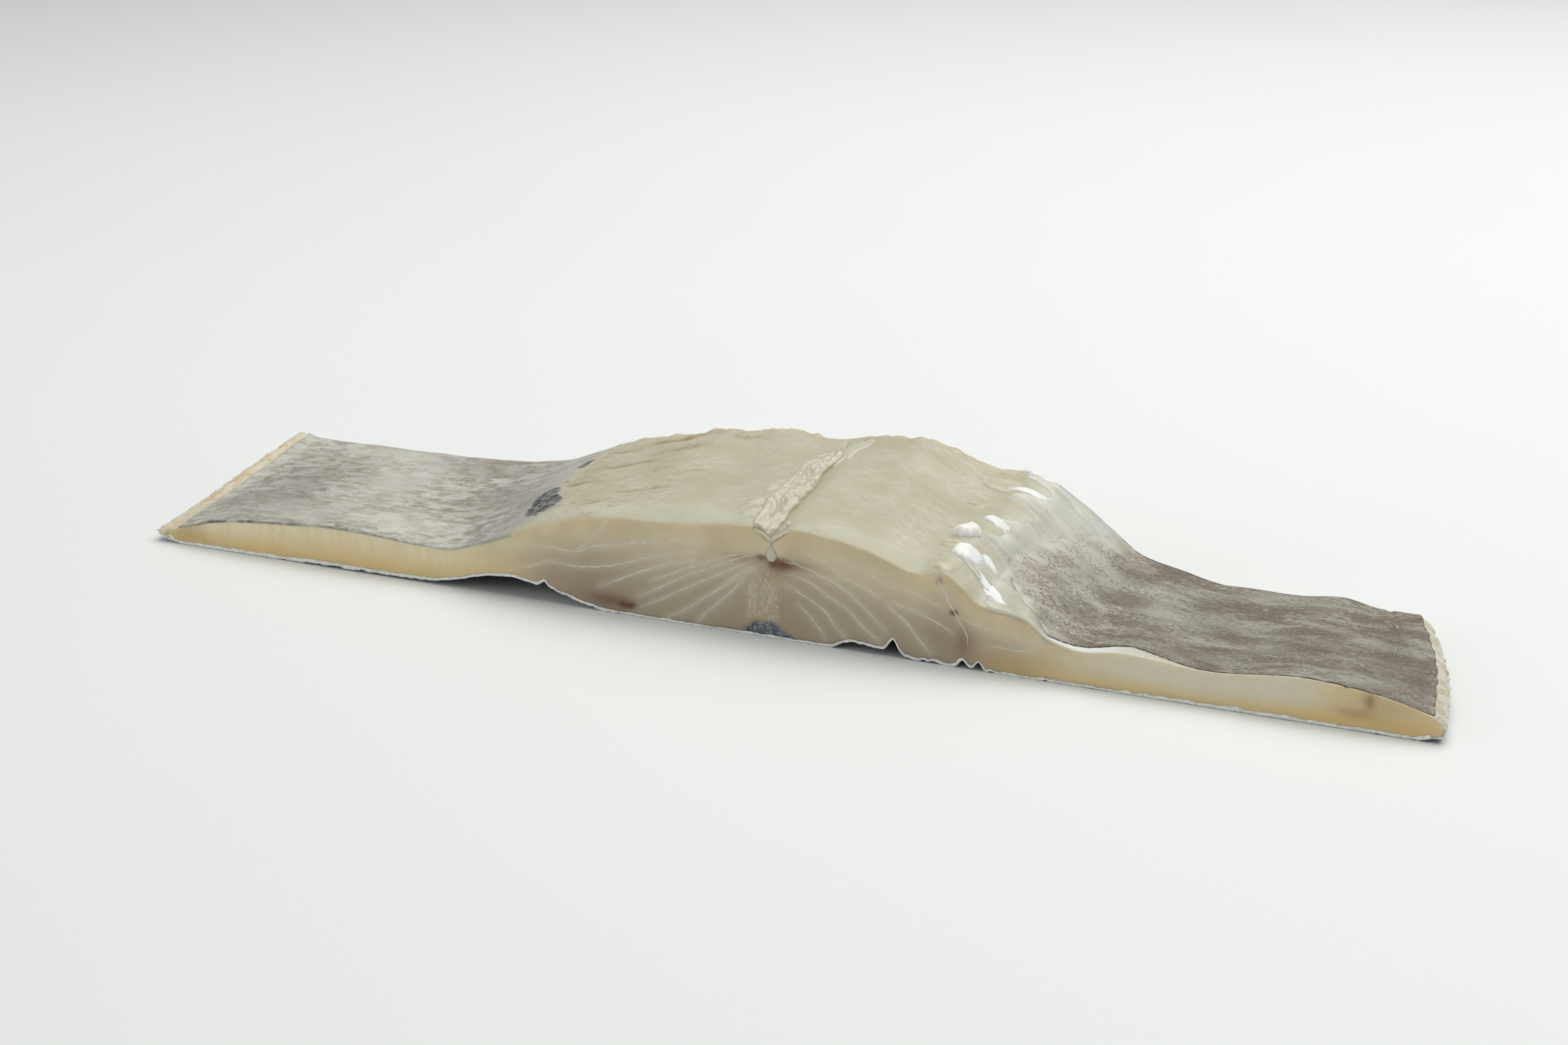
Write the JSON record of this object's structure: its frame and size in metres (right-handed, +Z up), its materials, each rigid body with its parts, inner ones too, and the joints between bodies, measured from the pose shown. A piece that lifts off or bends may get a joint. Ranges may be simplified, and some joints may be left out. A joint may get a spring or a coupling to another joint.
{
  "type": "piece of salted dried cod",
  "caption": "Crosswise piece of split salted dried cod lying skin down: thick pale loins along the midline, thin grey-lined belly flaps on both sides.",
  "frame": {"origin": "bottom centre of the bounding box, on the surface that the skin rests on", "axes": "+X along the piece towards the right flap's thin end, +Y from the front cut to the back cut, +Z up"},
  "size_m": [0.4824, 0.095, 0.0478],
  "materials": {
    "flesh": "moist, slightly translucent cream flesh with thin pale septa",
    "skin": "dry grey mottled skin, white at its cut edge",
    "lining": "matt streaky grey-brown membrane with dark speckles",
    "membrane": "cream fibrous shreds along the midline"
  },
  "bodies": {
    "root": {"flesh": "flesh", "skin": "skin", "lining_left": "lining", "lining_right": "lining", "backbone_ridge": "membrane"}
  },
  "joints": []
}
